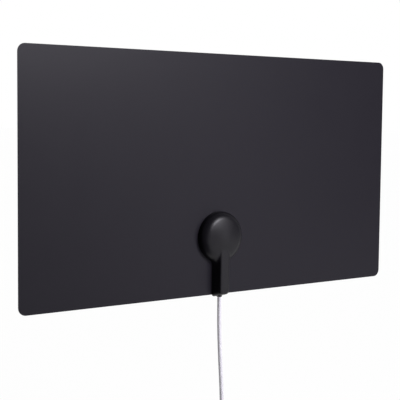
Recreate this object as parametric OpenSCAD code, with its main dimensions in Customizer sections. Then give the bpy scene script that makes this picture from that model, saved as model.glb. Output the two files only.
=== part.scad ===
// Flat indoor TV antenna: a laminated leaf panel with a screwed housing and a coaxial lead.
// The origin is on the wall plane, at the centre of the panel's back face.
// +X is to the right as seen from the front, +Y goes into the wall and +Z is up.

/* [Panel] */
// Width of the panel
panel_w = 546; // [440:2:640]
// Height of the panel
panel_h = 292; // [250:2:360]
// Radius of the panel's corners
panel_corner_r = 9; // [3:1:20]
// Thickness of the front sheet
front_sheet_t = 0.4; // [0.3:0.05:0.6]
// Thickness of the back sheet
back_sheet_t = 0.5; // [0.4:0.05:0.8]

/* [Foil elements] */
// Thickness of the foil between the sheets
foil_t = 0.1; // [0.05:0.05:0.2]
// Bare border between the foil and the panel's edge
foil_border = 10; // [6:1:20]
// Height of the foil's tab where it enters the housing
foil_tab_h = 8; // [5:1:9]
// Distance from the housing's axis to the foil's upper inner corner
foil_shoulder = 64; // [50:2:90]
// Number of slots cut into each foil
foil_slots = 4; // [2:1:6]
// Width of a slot
foil_slot_w = 5; // [3:1:8]
// Bridge of foil left at the closed end of a slot
foil_bridge = 14; // [8:1:24]

/* [Housing] */
// Distance of the housing's axis from the panel's centre line, to the right
pod_offset = -4.9; // [-12:0.1:12]
// Height of the housing's axis above the panel's lower edge
pod_rise = 70.9; // [60:0.1:90]
// Radius of the dome where it meets the panel
dome_r = 31; // [30:0.5:36]
// Height of the dome above the panel
dome_h = 15.5; // [14.5:0.5:18]
// Height of the steep wall below the dome's shoulder
dome_wall_h = 4; // [3:0.5:5]
// How far in the dome's rounded shoulder reaches
shoulder_w = 12; // [9:0.5:14]
// How much the steep wall leans in over its height
dome_draft = 0.3; // [0.1:0.1:0.6]
// Wall thickness of the front cover
cover_wall = 2; // [1.5:0.1:2.5]
// Width of the neck where it meets the panel
neck_base_w = 19; // [17:0.5:21]
// Width of the neck at its flat front
neck_front_w = 13.6; // [12:0.1:16]
// How much lower the neck's front is than the dome's top
neck_drop = 1.1; // [0.8:0.1:2]
// Radius of the edge along the neck's front
neck_edge_r = 1.2; // [0.8:0.1:2]
// Radius of the neck's lower corners
neck_corner_r = 3.5; // [3:0.5:5]
// How much the neck's end leans back for each millimetre of height
neck_lean = 0.27; // [0:0.01:0.4]
// Radius of the curve where the neck's front turns under
neck_under_r = 2.5; // [2:0.1:4]
// Radius of the hollow blend between neck and dome
neck_blend_r = 8; // [5:0.5:12]
// How far the neck reaches past the panel's lower edge
neck_over = 2.4; // [1:0.1:6]

/* [Back cover and screws] */
// Thickness of the back cover
back_plate_t = 1.5; // [1.4:0.1:2]
// Width of the back cover's flange behind the front sheet
flange_w = 5.4; // [4:0.2:7]
// Inset of the flange from the dome's outer wall
flange_inset = 0.8; // [0.5:0.1:1.5]
// Assembly gap between pieces that drop into each other
fit_gap = 0.15; // [0.1:0.05:0.25]
// Radius of a cover screw's shank
screw_r = 1.25; // [1:0.05:1.4]
// Radius of a cover screw's countersunk head
screw_head_r = 2.3; // [2:0.1:2.5]
// Length of a cover screw
screw_len = 9; // [7:0.5:10]
// Angle of the cover screws above and below the housing's middle
screw_angle = 38; // [34:1:44]
// Radius of a screw boss
boss_r = 3; // [2.6:0.1:3.4]
// Running gap round a screw's shank
thread_gap = 0.05; // [0.03:0.01:0.08]

/* [Circuit board] */
// Thickness of the board
board_t = 1; // [0.8:0.1:1.6]
// Height of the board
board_h = 24; // [20:1:25]
// Gap between the board and the screw bosses
board_gap = 1; // [0.5:0.1:1.5]
// Height of the board above the back cover
standoff_h = 2.5; // [2:0.1:3]
// Radius of a small screw's shank
small_screw_r = 0.95; // [0.8:0.05:1]
// Radius of a small screw's head
small_head_r = 1.8; // [1.6:0.1:2]
// Height of a small screw's head
small_head_h = 1.2; // [0.8:0.1:1.4]
// Radius of the ring core from its axis to the middle of its section
core_r = 3.6; // [3.2:0.1:4]
// Radius of the ring core's section
core_section_r = 1.6; // [1.4:0.1:1.8]
// Radius of the winding wire
wire_r = 0.3; // [0.2:0.05:0.35]
// Turns of wire on the ring core
winding_turns = 9; // [5:1:9]
// Thickness of the contact strips
contact_t = 0.25; // [0.2:0.05:0.35]
// Width of the contact strips
contact_w = 4; // [3:0.5:5]

/* [Lead] */
// Diameter of the lead
lead_d = 5; // [4.4:0.1:5.2]
// Diameter of the lead's inner insulation
insulation_d = 3.2; // [2.8:0.1:3.4]
// Diameter of the lead's solid core
core_wire_d = 0.8; // [0.6:0.05:1]
// Wall of the bushing round the lead
bushing_wall = 0.55; // [0.4:0.05:0.8]
// How far the bushing shows below the neck
bushing_out = 0.5; // [0.3:0.1:3]
// Width of the clamp along the lead
clamp_w = 6; // [5:0.5:7]
// Thickness of the clamp
clamp_t = 1.4; // [1:0.1:1.6]

/* [Coil] */
// Radius of the innermost turn at the middle of the lead
coil_inner_r = 21.8; // [18:0.2:24]
// Number of turns side by side and on top of each other
coil_rows = 4; // [3:1:5]
// Gap between neighbouring turns
coil_gap = 0.15; // [0.05:0.05:0.3]
// Width of the tie
tie_w = 3; // [2:0.5:5]
// Thickness of the tie's band
tie_t = 1; // [0.8:0.1:1.4]

/* [Connector] */
// Length of the moulded boot
boot_len = 20; // [16:1:24]
// Radius of the boot at its nut end
boot_r = 5; // [4.6:0.1:5.2]
// Radius of the connector's neck inside the nut
ferrule_r = 3.3; // [3.1:0.05:3.4]
// Radius of the flange that keeps the nut on
retainer_r = 4.4; // [4.2:0.05:4.45]
// Width of the nut across its flats
nut_flats = 11.1; // [10.8:0.1:12]
// Length of the nut
nut_len = 8.6; // [8:0.2:10]
// Radius of the nut's thread
nut_thread_r = 4.55; // [4.5:0.01:4.6]
// Running gap between nut and neck
nut_gap = 0.06; // [0.03:0.01:0.09]
// Radius of the centre pin
pin_r = 0.5; // [0.4:0.05:0.6]
// How far the pin stands out of the nut
pin_out = 2; // [1:0.5:3]

/* [Hidden] */
$fn = 96;
panel_t = front_sheet_t + back_sheet_t;
pod_z = pod_rise - panel_h / 2;
flange_r = dome_r - flange_inset;
plug_r = flange_r - flange_w;
neck_h = dome_h - neck_drop;
neck_run = pod_rise + neck_over - neck_base_w / 2;
exit_z = -panel_h / 2 - neck_over;

// The dome's shoulder is a part of an ellipse, and its crown a low curve from there to the middle
shoulder_r = dome_r - dome_draft;
shoulder_a = 83;
crown_r = shoulder_r - shoulder_w * (1 - cos(shoulder_a));
shoulder_h = (dome_h - dome_wall_h) / (sin(shoulder_a) + crown_r / (2 * shoulder_w * tan(shoulder_a)));
crown_h = dome_h - dome_wall_h - shoulder_h * sin(shoulder_a);

// Screw bosses stand just inside the back cover's raised middle
boss_x = (plug_r - boss_r) * cos(screw_angle);
boss_y = (plug_r - boss_r) * sin(screw_angle);
screw_inset = 0.1;

// Lead, clamp and stripped end, from the bottom up
lead_r = lead_d / 2;
lead_axis = back_plate_t + lead_r;
clamp_y = -plug_r + clamp_w / 2 + 2.8;
clamp_foot_x = lead_r + 3.7;
clamp_post_h = 1;
jacket_end_y = clamp_y + clamp_w / 2 + 1;
strip_len = 2.6;
board_low_y = jacket_end_y + 6;

// Circuit board and what stands on it
board_back = back_plate_t + standoff_h;
board_front = board_back + board_t;
board_w = 2 * (boss_x - boss_r - board_gap);
board_mid_y = board_low_y + board_h / 2;
standoff_x = board_w / 2 - 3;
standoff_y = board_h / 2 - 3.5;
standoff_r = 2;
wire_gap = 0.1;
wire_ring_r = core_section_r + wire_r + wire_gap;
core_z = board_front + wire_ring_r + wire_r + wire_gap;
core_y = board_mid_y + 3;
tab_in = plug_r - 6;

// Coil, measured from the point where the lead leaves the neck
coil_pitch = lead_d + coil_gap;
coil_outer_r = coil_inner_r + (coil_rows - 1) * coil_pitch;
coil_x = 5.6;
coil_z = -210.9;
coil_start_a = 35;
stub_len = 20;
tail_len = 25;
tie_a = 24;

// Points of the hanging lead as x and z, below and beside the exit
lead_points = [[0, 0], [0, -9], [0, -19], [0.1, -31], [0.5, -44], [1.1, -57], [1.8, -70],
    [2.6, -83], [3.5, -96], [4.4, -109], [5.1, -122], [5.6, -135], [6.3, -143], [8.2, -149],
    [11, -154]];

// Connector, measured down from the boot's upper end
boot_bore_len = 8;
neck_len = 3;
retainer_t = 1.5;
nose_len = 1.2;
nut_back = boot_len + 0.3;
retainer_z = boot_len + neck_len;
face_z = retainer_z + retainer_t + nose_len;
nut_end = nut_back + nut_len;
boot_top_z = coil_z - stub_len - tail_len + boot_bore_len;

// Corner points of a rectangle with rounded corners, anticlockwise
function rounded_rect(x0, y0, x1, y1, r, n = 12) = [
    for (c = [[x1 - r, y1 - r, 0], [x0 + r, y1 - r, 90], [x0 + r, y0 + r, 180], [x1 - r, y0 + r, 270]])
        for (i = [0:n]) [c.x + r * cos(c.z + 90 * i / n), c.y + r * sin(c.z + 90 * i / n)]];

// Points of an arc of a circle
function arc(cx, cy, r, a0, a1, n) = [
    for (i = [0:n]) [cx + r * cos(a0 + (a1 - a0) * i / n), cy + r * sin(a0 + (a1 - a0) * i / n)]];

// Faces of a solid made of stacked rings with the same number of points
function ring_faces(rings, n) = concat(
    [[for (j = [n - 1:-1:0]) j]],
    [for (i = [0:rings - 2], j = [0:n - 1])
        let (k = (j + 1) % n, a = i * n)
        for (f = [[a + j, a + k, a + n + k], [a + j, a + n + k, a + n + j]]) f],
    [[for (j = [0:n - 1]) (rings - 1) * n + j]]);

// A tube along a path, with a sideways direction given for each point
module tube(path, sides, r, n) {
    last = len(path) - 1;
    points = [for (i = [0:last])
        let (t = path[min(i + 1, last)] - path[max(i - 1, 0)],
            w = cross(sides[i], t / norm(t)))
        for (j = [0:n - 1]) path[i] + r * (cos(360 * j / n) * sides[i] + sin(360 * j / n) * w)];
    polyhedron(points, ring_faces(last + 1, n));
}

// The housing's own frame: x to the right, y up the panel and z out of the wall
module pod_frame() {
    translate([pod_offset, 0, pod_z]) rotate([90, 0, 0]) children();
}

// The four screw places of the housing
module at_screws() {
    for (x = [-boss_x, boss_x], y = [-boss_y, boss_y]) translate([x, y, 0]) children();
}

// The two screws that hold the board
module at_board_screws() {
    for (x = [-standoff_x, standoff_x]) translate([x, board_mid_y + standoff_y, 0]) children();
}

// The two screws of the lead clamp
module at_clamp_screws() {
    for (x = [-clamp_foot_x, clamp_foot_x]) translate([x, clamp_y, 0]) children();
}

// A sheet of the panel, from one distance off the wall to another
module sheet_plate(from, to) {
    translate([0, -from, 0]) rotate([90, 0, 0]) linear_extrude(to - from)
        polygon(rounded_rect(-panel_w / 2, -panel_h / 2, panel_w / 2, panel_h / 2, panel_corner_r));
}

// Outline of one foil half about the housing's axis, on the given side
module element_outline(side) {
    far_x = panel_w / 2 - foil_border - side * pod_offset;
    top_y = panel_h / 2 - foil_border - pod_z;
    low_y = -panel_h / 2 + foil_border - pod_z;
    flare_x = dome_r + 6;
    slot_pitch = (far_x - foil_shoulder) / (foil_slots + 1);
    scale([side, 1]) difference() {
        polygon([[tab_in, -foil_tab_h / 2], [flare_x, -foil_tab_h / 2], [foil_shoulder, low_y],
            [far_x, low_y], [far_x, top_y], [foil_shoulder, top_y],
            [flare_x, foil_tab_h / 2], [tab_in, foil_tab_h / 2]]);
        for (i = [1:foil_slots])
            let (up = i % 2)
                translate([foil_shoulder + i * slot_pitch - foil_slot_w / 2, low_y - 1 + up * (foil_bridge + 1)])
                    square([foil_slot_w, top_y - low_y - foil_bridge + 1]);
    }
}

module element(side) {
    pod_frame() translate([0, 0, back_sheet_t - foil_t]) linear_extrude(foil_t) element_outline(side);
}

module front_sheet() {
    color([0.17, 0.17, 0.19]) difference() {
        sheet_plate(back_sheet_t, panel_t);
        pod_frame() cylinder(r = plug_r + fit_gap, h = 3, center = true);
    }
}

module back_sheet() {
    color([0.13, 0.13, 0.14]) difference() {
        sheet_plate(0, back_sheet_t);
        pod_frame() cylinder(r = flange_r + fit_gap, h = 3, center = true);
        for (side = [-1, 1]) element(side);
    }
}

module left_element() {
    color([0.78, 0.78, 0.8]) element(-1);
}

module right_element() {
    color([0.78, 0.78, 0.8]) element(1);
}

// Radius of the dome at a height above the panel
function dome_r_at(h) = h <= dome_wall_h
    ? dome_r - dome_draft * h / dome_wall_h
    : shoulder_r - shoulder_w * (1 - sqrt(max(0, 1 - pow((h - dome_wall_h) / shoulder_h, 2))));

// Half width of the neck at a height above the panel, with its rounded front edge
function neck_half_at(h) =
    let (slope = (neck_base_w - neck_front_w) / 2 / neck_h,
        over = max(0, h - neck_h + neck_edge_r))
    neck_base_w / 2 - slope * h - neck_edge_r + sqrt(max(0, pow(neck_edge_r, 2) - pow(over, 2)));

// The dome as a solid of revolution, its surface moved in by the given amount, its foot cut later
module dome_form(inset = 0) {
    shoulder = [for (i = [0:12]) let (a = shoulder_a * i / 12)
        [shoulder_r - shoulder_w + (shoulder_w - inset) * cos(a),
            dome_wall_h + (shoulder_h - inset) * sin(a)]];
    crown = [for (k = [0.75, 0.5, 0.25, 0]) [crown_r * k, dome_h - inset - crown_h * k * k]];
    translate([0, 0, panel_t]) rotate_extrude()
        polygon(concat([[0, -1], [dome_r_at(-1) - inset, -1]], shoulder, crown));
}

// The neck, lofted through its outlines at rising heights, its surface moved in by the given amount
module neck_form(inset = 0) {
    steps = 4;
    corner = neck_corner_r - inset;
    under = neck_h - neck_under_r;
    bend = neck_h - neck_edge_r;
    levels = [-1, under / 2, under, under + 0.8, bend, bend + 0.5 * neck_edge_r,
        bend + 0.85 * neck_edge_r, neck_h];
    points = [for (h = levels)
        let (w = neck_half_at(h) - inset, over = max(0, h - under),
            set_back = neck_lean * h + neck_under_r
                - sqrt(max(0, pow(neck_under_r, 2) - over * over)),
            low = set_back + inset - neck_run - neck_base_w / 2 + corner)
        for (p = concat([[w, 0]], arc(w - corner, low, corner, 0, -90, steps),
            arc(corner - w, low, corner, -90, -180, steps), [[-w, 0]]))
            [p.x, p.y, panel_t + (h < 0 ? h : h - inset)]];
    polyhedron(points, ring_faces(len(levels), 2 * steps + 4));
}

// The hollow blend on one side of the neck, lofted through outlines at rising heights
module neck_blend() {
    sink = 0.3;
    steps = 8;
    bend = neck_h - neck_edge_r;
    levels = [-1, 0.18 * neck_h, dome_wall_h, 0.5 * neck_h, 0.64 * neck_h, 0.78 * neck_h, bend,
        bend + 0.5 * neck_edge_r, neck_h - 0.15];
    points = [for (h = levels)
        let (r = dome_r_at(h), w = neck_half_at(h), x = w + neck_blend_r,
            y = -sqrt(pow(r + neck_blend_r, 2) - x * x), a0 = atan2(-y, -x),
            step = (180 - a0) / steps, side = arc(x, y, neck_blend_r, a0 + step, 180 - step, steps - 2))
        for (p = concat([[0, -0.8 * r]], [[x, y] * (r - sink) / (r + neck_blend_r)],
            side, [[w - sink, y]])) [p.x, p.y, panel_t + h]];
    polyhedron(points, ring_faces(len(levels), steps + 2));
}

module front_cover() {
    notch_r = lead_r + bushing_wall + 0.1;
    notch_depth = neck_run + neck_base_w;
    color([0.1, 0.1, 0.11]) pod_frame() difference() {
        union() {
            difference() {
                union() {
                    dome_form();
                    neck_form();
                    neck_blend();
                    mirror([1, 0, 0]) neck_blend();
                }
                dome_form(cover_wall);
                neck_form(cover_wall);
            }
            intersection() {
                dome_form(cover_wall / 2);
                at_screws() translate([0, 0, back_plate_t]) cylinder(r = boss_r, h = dome_h);
            }
        }
        translate([-2 * dome_r, -2 * neck_run, -panel_t]) cube([4 * dome_r, 4 * neck_run, 2 * panel_t]);
        at_screws() cylinder(r = screw_r + thread_gap, h = screw_len + 1);
        translate([0, -neck_run, lead_axis]) rotate([90, 0, 0]) cylinder(r = notch_r, h = notch_depth);
        translate([-notch_r, -neck_run - notch_depth, 0]) cube([2 * notch_r, notch_depth, lead_axis]);
    }
}

module back_cover() {
    color([0.12, 0.12, 0.13]) pod_frame() difference() {
        union() {
            cylinder(r = flange_r, h = back_sheet_t);
            cylinder(r = plug_r, h = back_plate_t);
            for (x = [-standoff_x, standoff_x], y = [-standoff_y, standoff_y])
                translate([x, board_mid_y + y, 0]) cylinder(r = standoff_r, h = board_back);
            at_clamp_screws() cylinder(r = standoff_r, h = back_plate_t + clamp_post_h);
        }
        at_screws() {
            translate([0, 0, -1]) cylinder(r = screw_r + thread_gap, h = back_plate_t + 2);
            translate([0, 0, -1]) cylinder(r = screw_head_r, h = 1 + screw_inset);
            translate([0, 0, screw_inset])
                cylinder(r1 = screw_head_r, r2 = screw_r, h = screw_head_r - screw_r);
        }
        for (side = [-1, 1])
            translate([side > 0 ? tab_in - fit_gap : -flange_r - 1, -foil_tab_h / 2 - fit_gap,
                back_sheet_t - foil_t])
                cube([flange_r + 1 - tab_in + fit_gap, foil_tab_h + 2 * fit_gap, back_plate_t]);
        at_board_screws() translate([0, 0, 0.7])
            cylinder(r = small_screw_r + thread_gap, h = board_back);
        at_clamp_screws() translate([0, 0, 0.7])
            cylinder(r = small_screw_r + thread_gap, h = board_back);
    }
}

module cover_screws() {
    color([0.3, 0.3, 0.32]) pod_frame() at_screws() translate([0, 0, screw_inset]) difference() {
        union() {
            cylinder(r1 = screw_head_r, r2 = screw_r, h = screw_head_r - screw_r);
            cylinder(r = screw_r, h = screw_len);
        }
        for (a = [0, 90]) rotate(a) cube([2.6, 0.5, 1], center = true);
    }
}

module small_screw(len) {
    rotate([180, 0, 0]) translate([0, 0, -small_head_h]) difference() {
        union() {
            cylinder(r = small_head_r, h = small_head_h);
            translate([0, 0, small_head_h]) cylinder(r = small_screw_r, h = len);
        }
        for (a = [0, 90]) rotate(a) cube([2.2, 0.4, 0.9], center = true);
    }
}

module circuit_board() {
    color([0.1, 0.35, 0.2]) pod_frame() difference() {
        translate([-board_w / 2, board_low_y, board_back]) cube([board_w, board_h, board_t]);
        at_board_screws() cylinder(r = small_screw_r + 0.1, h = 2 * board_front);
    }
}

module board_screws() {
    color([0.7, 0.7, 0.72]) pod_frame() at_board_screws() translate([0, 0, board_front])
        small_screw(board_front - 1);
}

module balun_core() {
    color([0.2, 0.2, 0.21]) pod_frame() translate([0, core_y, core_z])
        rotate_extrude() translate([core_r, 0]) circle(r = core_section_r);
}

// A wire wound round the ring core, both ends down on the board
module balun_winding() {
    steps = 12 * winding_turns;
    sides = [for (i = [0:steps])
        let (around = 120 + 300 * i / steps, turn = 270 + 360 * winding_turns * i / steps)
            [cos(turn) * cos(around), cos(turn) * sin(around), sin(turn)]];
    path = [for (i = [0:steps])
        let (around = 120 + 300 * i / steps)
            core_r * [cos(around), sin(around), 0] + wire_ring_r * sides[i]];
    color([0.72, 0.4, 0.2]) pod_frame() translate([0, core_y, core_z]) tube(path, sides, wire_r, 6);
}

module matching_chips() {
    chip = [2, 1.2, 0.6];
    color([0.75, 0.65, 0.5]) pod_frame() for (x = [-8, 8], y = [-2.5, 0.5])
        translate([x - chip.x / 2, board_mid_y + y - 1, board_front]) cube(chip);
}

// A spring strip from the board's back, down to a foot on the foil tab
module contact(side) {
    pad_z = back_sheet_t;
    leg_x = tab_in + 1;
    pad_end = plug_r - 1.5;
    root_x = board_w / 2 - 3;
    color([0.8, 0.7, 0.4]) pod_frame() scale([side, 1, 1]) rotate([90, 0, 0])
        translate([0, 0, -contact_w / 2]) linear_extrude(contact_w)
            polygon([[root_x, board_back], [leg_x + contact_t, board_back],
                [leg_x + contact_t, pad_z + contact_t], [pad_end, pad_z + contact_t], [pad_end, pad_z],
                [leg_x, pad_z], [leg_x, board_back - contact_t], [root_x, board_back - contact_t]]);
}

module left_contact() {
    contact(-1);
}

module right_contact() {
    contact(1);
}

// A saddle over the lead, screwed to two posts of the back cover
module lead_clamp() {
    foot_z = back_plate_t + clamp_post_h;
    half_w = clamp_foot_x + small_head_r + 0.4;
    color([0.35, 0.35, 0.37]) pod_frame() difference() {
        translate([0, clamp_y + clamp_w / 2, 0]) union() {
            translate([-half_w, -clamp_w, foot_z]) cube([2 * half_w, clamp_w, clamp_t]);
            translate([0, 0, lead_axis]) rotate([90, 0, 0]) cylinder(r = lead_r + clamp_t, h = clamp_w);
        }
        translate([0, clamp_y + clamp_w, lead_axis]) rotate([90, 0, 0])
            cylinder(r = lead_r + thread_gap, h = 2 * clamp_w);
        translate([-half_w, clamp_y - clamp_w, 0]) cube([2 * half_w, 2 * clamp_w, foot_z]);
        at_clamp_screws() cylinder(r = small_screw_r + thread_gap, h = 3 * lead_axis);
    }
}

module clamp_screws() {
    top = back_plate_t + clamp_post_h + clamp_t;
    color([0.7, 0.7, 0.72]) pod_frame() at_clamp_screws() translate([0, 0, top]) small_screw(top - 1);
}

// The soft sleeve in the neck's end: a collar inside, a waist in the notch and a taper outside
module lead_bushing() {
    waist_r = lead_r + bushing_wall;
    inside = neck_base_w / 2 - cover_wall - 0.5;
    collar_t = 3;
    collar_r = waist_r + 0.8;
    end_y = neck_run + neck_base_w / 2;
    color([0.07, 0.07, 0.08]) pod_frame() difference() {
        union() {
            translate([0, -neck_run, lead_axis]) rotate([90, 0, 0])
                cylinder(r = waist_r, h = neck_base_w / 2);
            translate([-waist_r, -end_y, panel_t]) cube([2 * waist_r, neck_base_w / 2, lead_axis - panel_t]);
            translate([0, -neck_run - inside + collar_t + 2, lead_axis]) rotate([90, 0, 0])
                cylinder(r = collar_r, h = collar_t);
            translate([0, -end_y, lead_axis]) rotate([90, 0, 0])
                cylinder(r1 = waist_r, r2 = waist_r - 0.25, h = bushing_out);
        }
        translate([0, 0, lead_axis]) rotate([90, 0, 0])
            cylinder(r = lead_r + thread_gap, h = 2 * end_y);
        translate([-collar_r, -2 * end_y, panel_t - 4]) cube([2 * collar_r, 2 * end_y, 4]);
    }
}

module lead_inside() {
    color([0.82, 0.81, 0.84]) translate([pod_offset, -lead_axis, exit_z])
        cylinder(r = lead_r, h = pod_z + jacket_end_y - exit_z);
}

// A bare wire that leaves the lead's end and steps up onto the board
module stepped_wire(x, r, from_y, to_y) {
    over = board_front + r;
    step_y = board_low_y - r - 0.2;
    path = [for (p = [[from_y, lead_axis], [from_y + 0.5, lead_axis], [step_y - 0.5, over - 0.2],
        [step_y, over], [to_y, over]]) [x, p.x, p.y]];
    pod_frame() tube(path, [for (p = path) [1, 0, 0]], r, 8);
}

module coax_insulation() {
    color([0.95, 0.95, 0.93]) pod_frame() translate([0, jacket_end_y, lead_axis])
        rotate([-90, 0, 0]) cylinder(r = insulation_d / 2, h = strip_len);
}

module coax_core() {
    color([0.8, 0.5, 0.3])
        stepped_wire(0, core_wire_d / 2, jacket_end_y + strip_len, board_low_y + 3);
}

module braid_pigtail() {
    color([0.7, 0.7, 0.7])
        stepped_wire((lead_r + insulation_d / 2) / 2, 0.4, jacket_end_y, board_low_y + 2);
}

// The lead's frame: its zero is where the lead leaves the neck
module exit_frame() {
    translate([pod_offset, -lead_axis, exit_z]) children();
}

// The lead down to the coil, whose outer turn it meets on a straight run
module lead() {
    away = [-sin(coil_start_a), 0, cos(coil_start_a)];
    turn = [coil_x, 0, coil_z] + coil_outer_r * [cos(coil_start_a), 0, sin(coil_start_a)];
    path = concat([for (p = lead_points) [p.x, 0, p.y]], [turn + 1.5 * stub_len * away, turn + stub_len * away]);
    color([0.85, 0.84, 0.87]) exit_frame() tube(path, [for (p = path) [0, 1, 0]], lead_r, 10);
}

// The coil's outer shape as one ring, with the short ends where the lead joins and leaves it
module lead_coil() {
    depth = (coil_rows - 1) * coil_pitch;
    wrap = lead_r + coil_gap / 2;
    color([0.85, 0.84, 0.87]) exit_frame() translate([coil_x, 0, coil_z]) rotate([90, 0, 0]) {
        rotate_extrude() polygon(rounded_rect(coil_inner_r - wrap, -wrap, coil_outer_r + wrap,
            depth + wrap, wrap - 0.5, 4));
        rotate(coil_start_a) translate([coil_outer_r, 0, 0]) rotate([-90, 0, 0])
            cylinder(r = lead_r, h = stub_len);
        translate([coil_outer_r, 0, depth]) rotate([90, 0, 0]) cylinder(r = lead_r, h = stub_len);
    }
}

// The tail and the connector stand in line below the coil's front turn
module tail_frame() {
    exit_frame() translate([coil_x + coil_outer_r, -(coil_rows - 1) * coil_pitch, boot_top_z])
        rotate([180, 0, 0]) children();
}

module lead_tail() {
    color([0.85, 0.84, 0.87]) tail_frame() translate([0, 0, boot_bore_len - tail_len])
        cylinder(r = lead_r, h = tail_len);
}

module cable_tie() {
    gap = 0.3;
    low = coil_inner_r - lead_r - gap;
    high = coil_outer_r + lead_r + gap;
    depth = (coil_rows - 1) * coil_pitch + lead_r + gap;
    head = [4, tie_w + 2, 5];
    color([0.1, 0.1, 0.1]) exit_frame() translate([coil_x, 0, coil_z]) rotate([90, 0, 0]) rotate(tie_a) {
        rotate([90, 0, 0]) linear_extrude(tie_w, center = true) difference() {
            polygon(rounded_rect(low - tie_t, -lead_r - gap - tie_t, high + tie_t, depth + tie_t, 3, 6));
            polygon(rounded_rect(low, -lead_r - gap, high, depth, 2, 6));
        }
        translate([high + tie_t, -head.y / 2, depth - 3 - head.z]) cube(head);
    }
}

// The moulded boot, with grooves that let it bend
module connector_boot() {
    thin_r = lead_r + 0.7;
    cone_len = 0.75 * boot_len;
    groove = [0.35, 0.7];
    color([0.86, 0.85, 0.87]) tail_frame() difference() {
        rotate_extrude() polygon([[0, 0], [thin_r, 0], [boot_r - 0.6, cone_len], [boot_r, cone_len + 1],
            [boot_r, boot_len - 0.4], [boot_r - 0.4, boot_len], [0, boot_len]]);
        translate([0, 0, -1]) cylinder(r = lead_r + thread_gap, h = boot_bore_len + 1);
        translate([0, 0, boot_bore_len]) cylinder(r = ferrule_r, h = boot_len);
        for (z = [3:2.5:13])
            let (cone_r = thin_r + (boot_r - 0.6 - thin_r) * z / cone_len)
                translate([0, 0, z]) rotate_extrude()
                    translate([cone_r - groove.x, 0]) square([2, groove.y]);
    }
}

module connector_body() {
    color([0.75, 0.75, 0.76]) tail_frame() difference() {
        union() {
            translate([0, 0, boot_bore_len]) cylinder(r = ferrule_r, h = retainer_z - boot_bore_len);
            translate([0, 0, retainer_z]) cylinder(r = retainer_r, h = retainer_t);
            translate([0, 0, retainer_z + retainer_t]) cylinder(r = ferrule_r, h = nose_len);
        }
        translate([0, 0, boot_bore_len - 1]) cylinder(r = insulation_d / 2, h = boot_len + nut_len);
    }
}

module connector_insulator() {
    color([0.95, 0.95, 0.93]) tail_frame() difference() {
        translate([0, 0, boot_bore_len]) cylinder(r = insulation_d / 2, h = face_z - boot_bore_len);
        cylinder(r = pin_r, h = 2 * nut_end, $fn = 6);
    }
}

// The contact pin, whose six sided tail sits in the insulator
module centre_pin() {
    tip = 0.4;
    pin_end = nut_end + pin_out;
    color([0.8, 0.5, 0.3]) tail_frame() {
        translate([0, 0, boot_bore_len]) cylinder(r = pin_r, h = face_z - boot_bore_len, $fn = 6);
        translate([0, 0, face_z]) cylinder(r = pin_r, h = pin_end - tip - face_z);
        translate([0, 0, pin_end - tip]) cylinder(r1 = pin_r, r2 = pin_r / 2, h = tip);
    }
}

module coupling_nut() {
    corner_r = nut_flats / 2 / cos(30);
    lip_end = retainer_z - nut_back - 0.2;
    chamfer = 0.9;
    color([0.78, 0.78, 0.79]) tail_frame() translate([0, 0, nut_back]) difference() {
        intersection() {
            cylinder(r = corner_r, h = nut_len, $fn = 6);
            rotate_extrude() polygon([[0, 0], [corner_r - chamfer, 0], [corner_r + 0.1, chamfer * 0.6],
                [corner_r + 0.1, nut_len - chamfer * 0.6], [corner_r - chamfer, nut_len], [0, nut_len]]);
        }
        translate([0, 0, -1]) cylinder(r = ferrule_r + nut_gap, h = lip_end + 2);
        translate([0, 0, lip_end]) cylinder(r = nut_thread_r, h = nut_len);
    }
}

front_sheet();
back_sheet();
left_element();
right_element();
front_cover();
back_cover();
cover_screws();
circuit_board();
board_screws();
balun_core();
balun_winding();
matching_chips();
left_contact();
right_contact();
lead_clamp();
clamp_screws();
lead_bushing();
lead_inside();
coax_insulation();
coax_core();
braid_pigtail();
lead();
lead_coil();
lead_tail();
cable_tie();
connector_boot();
connector_body();
connector_insulator();
centre_pin();
coupling_nut();
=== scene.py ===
from math import atan2, cos, pi, radians, sin, sqrt, tan

import bmesh
import bpy
from mathutils import Matrix, Vector


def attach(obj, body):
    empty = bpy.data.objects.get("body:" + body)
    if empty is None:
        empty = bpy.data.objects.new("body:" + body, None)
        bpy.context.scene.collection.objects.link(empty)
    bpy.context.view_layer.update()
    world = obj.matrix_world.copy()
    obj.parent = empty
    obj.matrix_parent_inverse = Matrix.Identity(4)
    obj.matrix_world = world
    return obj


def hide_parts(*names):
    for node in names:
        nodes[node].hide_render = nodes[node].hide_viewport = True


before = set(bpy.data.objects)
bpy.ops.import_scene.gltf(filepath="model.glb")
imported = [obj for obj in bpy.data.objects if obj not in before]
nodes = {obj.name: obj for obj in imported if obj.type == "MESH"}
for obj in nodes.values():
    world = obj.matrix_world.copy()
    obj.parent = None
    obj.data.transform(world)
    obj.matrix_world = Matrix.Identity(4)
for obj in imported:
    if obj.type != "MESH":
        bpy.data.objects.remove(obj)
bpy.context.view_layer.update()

# Sizes that the dressed pieces share with the construction, in metres
PANEL_FRONT = 0.0009
POD_X, POD_Z = -0.0049, -0.0751
DOME_R, DOME_H, WALL_H, DRAFT, SHOULDER = 0.031, 0.0155, 0.004, 0.0003, 0.012
NECK_BASE, NECK_FRONT, NECK_H, NECK_EDGE = 0.019, 0.0136, 0.0144, 0.0012
NECK_LEN, NECK_CORNER, NECK_UNDER, NECK_LEAN, BLEND_R = 0.0733, 0.0035, 0.0025, 0.27, 0.008
COVER_WALL, BUSHING_R = 0.002, 0.00315
BOSS_X, BOSS_Y, BOSS_R, BOSS_BORE = 0.017178, 0.013421, 0.003, 0.0013
BOSS_FOOT, BOSS_TOP = 0.0006, 0.0106
LEAD_R, LEAD_DEPTH = 0.0025, 0.004
EXIT = Vector((POD_X, -LEAD_DEPTH, -0.1484))
COIL_X, COIL_Z, COIL_IN, PITCH, START = 0.0056, -0.2109, 0.0218, 0.00515, 35
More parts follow.
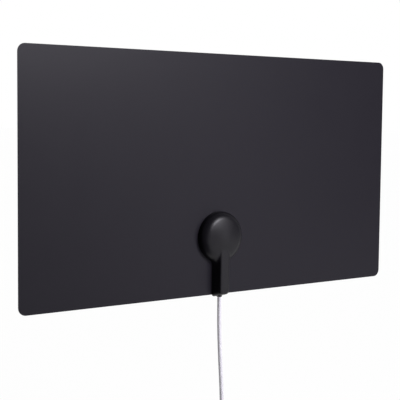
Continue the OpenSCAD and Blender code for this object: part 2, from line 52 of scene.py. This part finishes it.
COIL_ROWS, COIL_TURNS = 4, 15


# ---------------------------------------------------------------- camera

def photo_camera():
    yaw, pitch, roll = 0.62924266, -0.078725641, 0.0101374646
    look = Vector((sin(yaw) * cos(pitch), cos(yaw) * cos(pitch), sin(pitch)))
    right = Vector((cos(yaw), -sin(yaw), 0))
    up = right.cross(look)
    across = right * cos(roll) + up * sin(roll)
    rise = up * cos(roll) - right * sin(roll)
    data = bpy.data.cameras.new("photo_camera")
    data.sensor_width = 36
    data.lens = 93.461
    data.clip_start, data.clip_end = 0.05, 50
    camera = bpy.data.objects.new("photo_camera", data)
    bpy.context.scene.collection.objects.link(camera)
    turn = Matrix((across, rise, -look)).transposed().to_4x4()
    camera.matrix_world = Matrix.Translation((-0.764742, -1.005551, 0.068589)) @ turn
    bpy.context.scene.camera = camera


photo_camera()


# ---------------------------------------------------------------- the lead

def hanging_points():
    """The lead from the neck down to the coil, as x and z below the exit."""
    route = [(0, 0), (0, -0.009), (0, -0.019), (0.0001, -0.031), (0.0005, -0.044),
             (0.0011, -0.057), (0.0018, -0.07), (0.0026, -0.083), (0.0035, -0.096),
             (0.0044, -0.109), (0.0051, -0.122), (0.0056, -0.135), (0.0063, -0.143),
             (0.0082, -0.149), (0.011, -0.154)]
    outer = COIL_IN + (COIL_ROWS - 1) * PITCH
    start = radians(START)
    touch = Vector((COIL_X + outer * cos(start), COIL_Z + outer * sin(start)))
    away = Vector((-sin(start), cos(start)))
    route += [tuple(touch + away * d) for d in (0.03, 0.02, 0.01)]
    return [EXIT + Vector((x, 0, z)) for x, z in route]


def coil_points():
    """Turns side by side in four rows and four layers, wound clockwise as seen from the front."""
    last = COIL_ROWS - 1
    order = [(row if layer % 2 else last - row, layer)
             for layer in range(COIL_ROWS) for row in range(COIL_ROWS)]
    per_turn, cross_from = 24, 270
    centre = EXIT + Vector((COIL_X, 0, COIL_Z))
    points = []
    angles = [i * 360 / per_turn for i in range(COIL_TURNS * per_turn + 1)]
    angles += [COIL_TURNS * 360 + a for a in (12, 24, START)]
    for turned in angles:
        ring, along = int(turned // 360), turned % 360
        share = max(0, (along - cross_from) / (360 - cross_from))
        share = share * share * (3 - 2 * share)
        row, layer = order[ring]
        if share:
            next_row, next_layer = order[ring + 1]
            bulge = 0.45 * sin(pi * share) * (1 if row == last else -1) if next_layer > layer else 0
            row += (next_row - row) * share + bulge
            layer += (next_layer - layer) * share
        angle = radians(START - turned)
        radius = COIL_IN + row * PITCH
        points.append(centre + Vector((radius * cos(angle), -layer * PITCH, radius * sin(angle))))
    return points


def lead_route():
    """The whole lead, from the neck over the coil to the connector's boot."""
    coil = coil_points()
    tail = [coil[-1] - Vector((0, 0, d)) for d in (0.01, 0.02, 0.033, 0.045)]
    return hanging_points() + coil + tail


def lead_curve():
    data = bpy.data.curves.new("antenna_lead", "CURVE")
    data.dimensions = "3D"
    data.bevel_depth = 1
    data.bevel_resolution = 4
    data.resolution_u = 5
    data.use_fill_caps = True
    route = lead_route()
    spline = data.splines.new("BEZIER")
    spline.bezier_points.add(len(route) - 1)
    for i, point in enumerate(spline.bezier_points):
        before, after = route[max(i - 1, 0)], route[min(i + 1, len(route) - 1)]
        point.handle_left_type = point.handle_right_type = "FREE"
        point.co, point.radius = route[i], LEAD_R
        point.handle_left = route[i] - (after - before) / 6
        point.handle_right = route[i] + (after - before) / 6
    piece = bpy.data.objects.new("antenna_lead", data)
    bpy.context.scene.collection.objects.link(piece)
    return piece


lead = lead_curve()
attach(lead, "antenna")
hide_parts("lead", "lead_coil", "lead_tail")


# ---------------------------------------------------------------- finishes

# The part of a noise's range that its colours and sheens are spread over
NOISE_LOW, NOISE_HIGH = 0.3, 0.7


class Finish:
    """A material that is built node by node on one Principled shader."""

    def __init__(self, name, colour, rough, metallic=0.0, specular=0.5):
        self.material = bpy.data.materials.new(name)
        self.material.use_nodes = True
        self.tree = self.material.node_tree
        self.shader = self.tree.nodes["Principled BSDF"]
        self.shader.inputs["Base Color"].default_value = (*colour, 1)
        self.shader.inputs["Roughness"].default_value = rough
        self.shader.inputs["Metallic"].default_value = metallic
        self.shader.inputs["Specular IOR Level"].default_value = specular
        self.coordinates = self.tree.nodes.new("ShaderNodeTexCoord").outputs["Object"]

    def link(self, a, b):
        self.tree.links.new(a, b)

    def stretched(self, scale):
        mapping = self.tree.nodes.new("ShaderNodeMapping")
        mapping.inputs["Scale"].default_value = scale
        self.link(self.coordinates, mapping.inputs["Vector"])
        return mapping.outputs["Vector"]

    def noise(self, size, detail=2.0, stretch=None):
        node = self.tree.nodes.new("ShaderNodeTexNoise")
        node.inputs["Scale"].default_value = 1 / size
        node.inputs["Detail"].default_value = detail
        self.link(self.stretched(stretch) if stretch else self.coordinates, node.inputs["Vector"])
        return node.outputs["Fac"]

    def two_tone(self, value, first, second, start=NOISE_LOW, end=NOISE_HIGH):
        ramp = self.tree.nodes.new("ShaderNodeValToRGB")
        ramp.color_ramp.elements[0].position = start
        ramp.color_ramp.elements[1].position = end
        ramp.color_ramp.elements[0].color = (*first, 1)
        ramp.color_ramp.elements[1].color = (*second, 1)
        self.link(value, ramp.inputs["Fac"])
        self.link(ramp.outputs["Color"], self.shader.inputs["Base Color"])

    def relief(self, value, depth, strength=1.0):
        bump = self.tree.nodes.new("ShaderNodeBump")
        bump.inputs["Strength"].default_value = strength
        bump.inputs["Distance"].default_value = depth
        self.link(value, bump.inputs["Height"])
        self.link(bump.outputs["Normal"], self.shader.inputs["Normal"])

    def sheen_of(self, value, low, high):
        spread = self.tree.nodes.new("ShaderNodeMapRange")
        spread.inputs["From Min"].default_value = NOISE_LOW
        spread.inputs["From Max"].default_value = NOISE_HIGH
        spread.inputs["To Min"].default_value = low
        spread.inputs["To Max"].default_value = high
        self.link(value, spread.inputs["Value"])
        self.link(spread.outputs["Result"], self.shader.inputs["Roughness"])


def tone(colour, share):
    return tuple(c * share for c in colour)


def panel_film():
    colour = (0.0127, 0.0116, 0.0158)
    finish = Finish("panel_film", colour, 0.37, specular=0.14)
    finish.two_tone(finish.noise(0.0009, 3), tone(colour, 0.8), tone(colour, 1.2))
    finish.sheen_of(finish.noise(0.06, 2), 0.35, 0.39)
    finish.relief(finish.noise(0.0006, 2), 0.00006, 0.5)
    return finish.material


def back_film():
    colour = (0.018, 0.018, 0.02)
    finish = Finish("back_film", colour, 0.6, specular=0.3)
    finish.two_tone(finish.noise(0.0014, 3), tone(colour, 0.8), tone(colour, 1.2))
    finish.relief(finish.noise(0.0009, 2), 0.00008, 0.5)
    return finish.material


def housing_plastic():
    colour = (0.0075, 0.007, 0.009)
    finish = Finish("housing_plastic", colour, 0.34, specular=0.23)
    finish.two_tone(finish.noise(0.004, 3), tone(colour, 0.9), tone(colour, 1.1))
    finish.sheen_of(finish.noise(0.01, 3), 0.335, 0.36)
    finish.relief(finish.noise(0.0004, 2), 0.00002, 0.4)
    return finish.material


def moulded_texture():
    colour = (0.018, 0.018, 0.019)
    finish = Finish("moulded_texture", colour, 0.55, specular=0.35)
    finish.two_tone(finish.noise(0.003, 3), tone(colour, 0.85), tone(colour, 1.15))
    finish.relief(finish.noise(0.0005, 2), 0.00012, 0.8)
    return finish.material


PALE_GREY = (0.69, 0.68, 0.705)


def lead_jacket():
    finish = Finish("lead_jacket", PALE_GREY, 0.38, specular=0.45)
    finish.two_tone(finish.noise(0.012, 3), tone(PALE_GREY, 0.96), tone(PALE_GREY, 1.03))
    finish.sheen_of(finish.noise(0.02, 2), 0.34, 0.44)
    finish.relief(finish.noise(0.0012, 2), 0.00002, 0.4)
    return finish.material


def plain_plastic(name, colour, rough=0.45, grain=0.0006, depth=0.00003):
    finish = Finish(name, colour, rough, specular=0.4)
    finish.two_tone(finish.noise(0.003, 3), tone(colour, 0.9), tone(colour, 1.06))
    finish.relief(finish.noise(grain, 2), depth, 0.5)
    return finish.material


def plain_metal(name, colour, rough, stretch=(1, 1, 1)):
    finish = Finish(name, colour, rough, metallic=1.0)
    finish.two_tone(finish.noise(0.004, 2), tone(colour, 0.93), tone(colour, 1.03))
    finish.sheen_of(finish.noise(0.0015, 3, stretch), rough * 0.8, rough * 1.3)
    finish.relief(finish.noise(0.0003, 2, stretch), 0.000006, 0.25)
    return finish.material


def braid_wire():
    colour = (0.55, 0.5, 0.46)
    finish = Finish("braid_wire", colour, 0.35, metallic=1.0)
    wave = finish.tree.nodes.new("ShaderNodeTexWave")
    wave.inputs["Scale"].default_value = 900
    wave.bands_direction = "DIAGONAL"
    finish.link(finish.coordinates, wave.inputs["Vector"])
    finish.two_tone(wave.outputs["Fac"], tone(colour, 0.5), colour, 0.1, 0.6)
    finish.relief(wave.outputs["Fac"], 0.0001)
    return finish.material


def dress(material, *names):
    """The solids keep their mesh and take a better material."""
    for name in names:
        for place in nodes[name].material_slots:
            place.material = material


white_plastic = plain_plastic("milky_insulation", (0.86, 0.86, 0.83), 0.4)
zinc = plain_metal("zinc_plate", (0.62, 0.62, 0.64), 0.3)
nickel = plain_metal("nickel_plate", (0.66, 0.65, 0.62), 0.2, (1, 1, 12))
jacket = lead_jacket()
dress(panel_film(), "front_sheet")
dress(back_film(), "back_sheet")
dress(plain_metal("aluminium_foil", (0.78, 0.78, 0.8), 0.35, (1, 1, 20)),
      "left_element", "right_element")
dress(moulded_texture(), "back_cover")
dress(plain_metal("blackened_steel", (0.06, 0.06, 0.065), 0.4), "cover_screws")
dress(plain_plastic("solder_mask", (0.03, 0.16, 0.07), 0.3), "circuit_board")
dress(zinc, "board_screws", "clamp_screws")
dress(plain_plastic("sintered_ferrite", (0.05, 0.05, 0.053), 0.7, 0.0003, 0.00006),
      "balun_core")
dress(plain_metal("enamelled_copper", (0.62, 0.28, 0.12), 0.28),
      "balun_winding", "coax_core")
dress(plain_plastic("chip_ceramic", (0.5, 0.4, 0.28), 0.5), "matching_chips")
dress(plain_metal("spring_bronze", (0.72, 0.55, 0.28), 0.3), "left_contact", "right_contact")
dress(plain_plastic("clamp_nylon", (0.09, 0.09, 0.095), 0.5), "lead_clamp")
dress(plain_plastic("bushing_rubber", (0.014, 0.014, 0.015), 0.6, 0.0005, 0.00006),
      "lead_bushing")
dress(jacket, "lead_inside")
dress(white_plastic, "coax_insulation", "connector_insulator")
dress(braid_wire(), "braid_pigtail")
dress(plain_plastic("tie_nylon", (0.02, 0.02, 0.021), 0.42), "cable_tie")
dress(plain_plastic("boot_plastic", PALE_GREY, 0.42, 0.0008, 0.00004), "connector_boot")
dress(nickel, "connector_body", "coupling_nut")
dress(plain_metal("pin_copper", (0.72, 0.4, 0.22), 0.25), "centre_pin")
lead.data.materials.append(jacket)


# ---------------------------------------------------------------- the housing's front cover

# How far the forms reach below the panel's front, until they are cut off there
LOW = -0.003
# The angle at which the shoulder's ellipse goes over into the crown
SHOULDER_END = 75
SHOULDER_A = radians(SHOULDER_END)
CROWN_R = DOME_R - DRAFT - SHOULDER * (1 - cos(SHOULDER_A))
SHOULDER_H = (DOME_H - WALL_H) / (sin(SHOULDER_A) + CROWN_R / (2 * SHOULDER * tan(SHOULDER_A)))
CROWN_H = DOME_H - WALL_H - SHOULDER_H * sin(SHOULDER_A)


def dome_radius(h):
    if h <= WALL_H:
        return DOME_R - DRAFT * h / WALL_H
    rise = min(1, (h - WALL_H) / SHOULDER_H)
    return DOME_R - DRAFT - SHOULDER * (1 - sqrt(1 - rise ** 2))


def neck_half(h):
    over = max(0, h - NECK_H + NECK_EDGE)
    slope = (NECK_BASE - NECK_FRONT) / 2 / NECK_H
    return NECK_BASE / 2 - slope * h - NECK_EDGE + sqrt(max(0, NECK_EDGE ** 2 - over ** 2))


def drawn_line(mesh, points):
    verts = [mesh.verts.new(p) for p in points]
    return verts + [mesh.edges.new(pair) for pair in zip(verts, verts[1:])]


def turned(mesh, profile, centre=(0, 0, 0), steps=160):
    """A solid of revolution about a line out of the wall, from a profile of radius and height."""
    line = drawn_line(mesh, [(centre[0] + r, centre[1], h) for r, h in profile])
    bmesh.ops.spin(mesh, geom=line, cent=centre, axis=(0, 0, 1), angle=2 * pi,
                   steps=steps, use_merge=True)


def lofted(mesh, outlines):
    """Outlines at rising heights, bridged in turn and closed at both ends."""
    loops = []
    for outline in outlines:
        verts = [mesh.verts.new(p) for p in outline]
        loops.append([mesh.edges.new((verts[i - 1], verts[i])) for i in range(len(verts))])
    for low, high in zip(loops, loops[1:]):
        bmesh.ops.bridge_loops(mesh, edges=low + high)
    for loop in (loops[0], loops[-1]):
        bmesh.ops.contextual_create(mesh, geom=loop)


def neck_outlines():
    """The neck at each height: straight sides, round lower corners, and an end that turns under."""
    bend, under = NECK_H - NECK_EDGE, NECK_H - NECK_UNDER
    quarter = [(cos(pi * i / 16), sin(pi * i / 16)) for i in range(9)]
    levels = [LOW, under * 0.5] + [under + (bend - under) * i / 8 for i in range(9)]
    levels += [bend + NECK_EDGE * sin(radians(a)) for a in range(10, 91, 10)]
    for h in levels:
        half = neck_half(h)
        over = max(0, h - under)
        set_back = NECK_LEAN * h + NECK_UNDER - sqrt(max(0, NECK_UNDER ** 2 - over ** 2))
        low = NECK_CORNER - NECK_LEN + set_back
        inner = half - NECK_CORNER
        end = [(inner + NECK_CORNER * c, low - NECK_CORNER * s) for c, s in quarter]
        end += [(-inner - NECK_CORNER * c, low - NECK_CORNER * s) for c, s in reversed(quarter)]
        yield [(x, y, h) for x, y in [(half, 0)] + end + [(-half, 0)]]


def blend_outlines(side):
    """The hollow blend between the dome's wall and the neck's side, as a round of one radius."""
    sink, bend = 0.0006, NECK_H - NECK_EDGE
    for h in [LOW, 0.002, WALL_H] + [WALL_H + (bend - WALL_H) * i / 5 for i in range(1, 6)]:
        r, w = dome_radius(h), neck_half(h)
        x = w + BLEND_R
        y = -sqrt((r + BLEND_R) ** 2 - x * x)
        first = atan2(-y, -x)
        arc = [first + (pi - first) * i / 12 for i in range(13)]
        inner = (r - sink) / (r + BLEND_R)
        outline = [(0, -0.8 * r), (x * inner, y * inner)]
        outline += [(x + BLEND_R * cos(a), y + BLEND_R * sin(a)) for a in arc]
        outline += [(w - sink, y)]
        yield [(side * px, py, h) for px, py in outline]


def cover_block():
    """Dome, neck and blends as closed forms that pass through each other."""
    mesh = bmesh.new()
    top_r = DOME_R - DRAFT
    profile = [(0, LOW), (DOME_R + 0.0002, LOW), (DOME_R, 0), (top_r, WALL_H)]
    profile += [(top_r - SHOULDER * (1 - cos(a)), WALL_H + SHOULDER_H * sin(a))
                for a in map(radians, range(3, SHOULDER_END + 1, 4))]
    profile += [(CROWN_R * k / 8, DOME_H - CROWN_H * (k / 8) ** 2) for k in range(7, -1, -1)]
    turned(mesh, profile)
    lofted(mesh, list(neck_outlines()))
    lofted(mesh, list(blend_outlines(1)))
    lofted(mesh, list(blend_outlines(-1)))
    bmesh.ops.remove_doubles(mesh, verts=mesh.verts, dist=1e-7)
    bmesh.ops.recalc_face_normals(mesh, faces=mesh.faces)
    return mesh


def as_piece(mesh, name, material):
    data = bpy.data.meshes.new(name)
    mesh.to_mesh(data)
    mesh.free()
    data.materials.append(material)
    piece = bpy.data.objects.new(name, data)
    bpy.context.scene.collection.objects.link(piece)
    return piece


def settle(piece):
    """The piece's modifiers are made part of its mesh."""
    seen = piece.evaluated_get(bpy.context.evaluated_depsgraph_get())
    data = bpy.data.meshes.new_from_object(seen)
    piece.modifiers.clear()
    piece.data = data


def cut_off(mesh, height):
    """Everything below a height is taken away, and the form is left open there."""
    everything = mesh.verts[:] + mesh.edges[:] + mesh.faces[:]
    bmesh.ops.bisect_plane(mesh, geom=everything, dist=1e-7, plane_co=(0, 0, height),
                           plane_no=(0, 0, 1), clear_inner=True)


def lead_notch():
    """The lead's way through the neck's end, round above and open to the panel."""
    mesh = bmesh.new()
    middle, past, reach = LEAD_DEPTH - PANEL_FRONT, -0.002, 0.009
    outline = [(BUSHING_R * cos(pi * i / 24), middle + BUSHING_R * sin(pi * i / 24))
               for i in range(25)]
    outline += [(-BUSHING_R, past), (BUSHING_R, past)]
    lofted(mesh, [[(x, y, h) for x, h in outline] for y in (-NECK_LEN - reach, -NECK_LEN + reach)])
    bmesh.ops.recalc_face_normals(mesh, faces=mesh.faces)
    return mesh


def screw_bosses(mesh):
    """Four hollow posts inside the cover, for the screws from behind."""
    foot, head = (BOSS_BORE, BOSS_FOOT), (BOSS_BORE, BOSS_TOP)
    profile = [foot, (BOSS_R, BOSS_FOOT), (BOSS_R, BOSS_TOP), head, foot]
    for x in (-BOSS_X, BOSS_X):
        for y in (-BOSS_Y, BOSS_Y):
            turned(mesh, profile, (x, y, 0), 32)


def front_cover(material):
    """The hollow cover: soft transitions outside, one wall, open to the panel, four bosses."""
    piece = as_piece(cover_block(), "cover_shell", material)
    skin = piece.modifiers.new("skin", "REMESH")
    skin.mode = "VOXEL"
    skin.voxel_size = 0.0005
    soft = piece.modifiers.new("soft", "SMOOTH")
    soft.factor, soft.iterations = 0.5, 30
    settle(piece)
    mesh = bmesh.new()
    mesh.from_mesh(piece.data)
    cut_off(mesh, -0.0015)
    mesh.to_mesh(piece.data)
    mesh.clear()
    wall = piece.modifiers.new("wall", "SOLIDIFY")
    wall.thickness = COVER_WALL
    wall.offset = -1
    settle(piece)
    mesh.from_mesh(piece.data)
    cut_off(mesh, 0)
    bmesh.ops.bridge_loops(mesh, edges=[edge for edge in mesh.edges if edge.is_boundary])
    mesh.to_mesh(piece.data)
    mesh.free()
    notch = as_piece(lead_notch(), "lead_notch", material)
    opening = piece.modifiers.new("opening", "BOOLEAN")
    opening.operation = "DIFFERENCE"
    opening.object = notch
    settle(piece)
    bpy.data.objects.remove(notch)
    mesh = bmesh.new()
    mesh.from_mesh(piece.data)
    screw_bosses(mesh)
    place = Matrix.Translation((POD_X, -PANEL_FRONT, POD_Z)) @ Matrix.Rotation(pi / 2, 4, "X")
    bmesh.ops.transform(mesh, matrix=place, verts=mesh.verts)
    for face in mesh.faces:
        face.smooth = True
    mesh.to_mesh(piece.data)
    mesh.free()
    return piece


cover = front_cover(housing_plastic())
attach(cover, "antenna")
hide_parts("front_cover")


# ---------------------------------------------------------------- studio

LIGHT_TONE = (1.0, 0.975, 1.055)
# The room's light on surfaces, where what the camera and mirrors see of it is 1
ROOM_LEVEL = 0.65
FLOOR_Z, FLOOR_HALF, FLOOR_GLOW = -0.432, 40, 0.975
SEEN = ("Is Camera Ray", "Is Glossy Ray", "Is Transmission Ray")


def any_ray(tree, *kinds):
    """One for rays of the named kinds, and nought for the rest."""
    path = tree.nodes.new("ShaderNodeLightPath")
    found = path.outputs[kinds[0]]
    for kind in kinds[1:]:
        either = tree.nodes.new("ShaderNodeMath")
        either.operation = "MAXIMUM"
        tree.links.new(found, either.inputs[0])
        tree.links.new(path.outputs[kind], either.inputs[1])
        found = either.outputs[0]
    return found


def mixed(tree, share, first, second):
    """The material's surface goes from the first shader to the second by a share."""
    mix = tree.nodes.new("ShaderNodeMixShader")
    tree.links.new(share, mix.inputs["Fac"])
    tree.links.new(first.outputs[0], mix.inputs[1])
    tree.links.new(second.outputs[0], mix.inputs[2])
    tree.links.new(mix.outputs[0], tree.nodes["Material Output"].inputs["Surface"])


def studio_world():
    world = bpy.data.worlds.new("studio")
    world.use_nodes = True
    tree = world.node_tree
    background = tree.nodes["Background"]
    background.inputs["Color"].default_value = (1, 1, 1, 1)
    level = tree.nodes.new("ShaderNodeMapRange")
    level.inputs["To Min"].default_value = ROOM_LEVEL
    level.inputs["To Max"].default_value = 1.0
    tree.links.new(any_ray(tree, *SEEN), level.inputs["Value"])
    tree.links.new(level.outputs["Result"], background.inputs["Strength"])
    bpy.context.scene.world = world


def studio_floor():
    """A floor that is seen white and still takes the object's shadow."""
    mesh = bmesh.new()
    bmesh.ops.create_grid(mesh, x_segments=1, y_segments=1, size=FLOOR_HALF)
    bmesh.ops.translate(mesh, vec=(0, 0, FLOOR_Z), verts=mesh.verts)
    material = bpy.data.materials.new("studio_floor")
    material.use_nodes = True
    tree = material.node_tree
    matt = tree.nodes["Principled BSDF"]
    matt.inputs["Base Color"].default_value = (0.9, 0.9, 0.9, 1)
    matt.inputs["Roughness"].default_value = 0.9
    glow = tree.nodes.new("ShaderNodeEmission")
    glow.inputs["Strength"].default_value = 1.0
    share = tree.nodes.new("ShaderNodeMath")
    share.operation = "MULTIPLY"
    share.inputs[1].default_value = FLOOR_GLOW
    tree.links.new(any_ray(tree, *SEEN), share.inputs[0])
    mixed(tree, share.outputs[0], matt, glow)
    as_piece(mesh, "studio_floor", material)


def dark_cloth():
    """Black for what the object mirrors, and clear for the camera and the lamps."""
    material = bpy.data.materials.new("dark_cloth")
    material.use_nodes = True
    tree = material.node_tree
    black = tree.nodes["Principled BSDF"]
    black.inputs["Base Color"].default_value = (0.004, 0.004, 0.004, 1)
    black.inputs["Roughness"].default_value = 1.0
    black.inputs["Specular IOR Level"].default_value = 0.0
    clear = tree.nodes.new("ShaderNodeBsdfTransparent")
    kinds = ("Is Camera Ray", "Is Shadow Ray", "Is Transmission Ray")
    mixed(tree, any_ray(tree, *kinds), black, clear)
    return material


def dark_tent():
    """Dark cloth round the left, front and top of the object, and on the floor at its left."""
    cloth, tent_r = dark_cloth(), 2.6
    mesh = bmesh.new()
    arc = [(cos(radians(a)), sin(radians(a))) for a in range(-9, 88, 6)]
    line = drawn_line(mesh, [(-tent_r * c, 0, tent_r * s) for c, s in arc])
    bmesh.ops.spin(mesh, geom=line, cent=(0, 0, 0), axis=(0, 0, 1), angle=radians(175), steps=35)
    as_piece(mesh, "dark_tent", cloth)
    mesh = bmesh.new()
    bmesh.ops.create_circle(mesh, cap_ends=True, radius=1.2, segments=48)
    bmesh.ops.translate(mesh, vec=(-1.27, -0.5, FLOOR_Z + 0.001), verts=mesh.verts)
    as_piece(mesh, "dark_floor_cloth", cloth)


def softbox(name, place, width, height, power, mirrored=True):
    """A rectangular lamp that faces the origin."""
    data = bpy.data.lights.new(name, "AREA")
    data.shape = "RECTANGLE"
    data.size, data.size_y = width, height
    data.energy = power
    data.color = LIGHT_TONE
    lamp = bpy.data.objects.new(name, data)
    lamp.visible_glossy = mirrored
    bpy.context.scene.collection.objects.link(lamp)
    turn = (-Vector(place)).to_track_quat("-Z", "Y")
    lamp.matrix_world = Matrix.Translation(place) @ turn.to_matrix().to_4x4()


studio_world()
studio_floor()
dark_tent()
softbox("key_softbox", (0.62, -1.742, 0.74), 0.5, 0.5, 34)
softbox("sheen_softbox", (1.17, -1.61, 0.02), 0.4, 0.9, 2.9)
softbox("near_fill", (-0.03, -0.75, 0.0), 0.3, 0.3, 1.7, mirrored=False)

bpy.context.scene.view_settings.view_transform = "Standard"
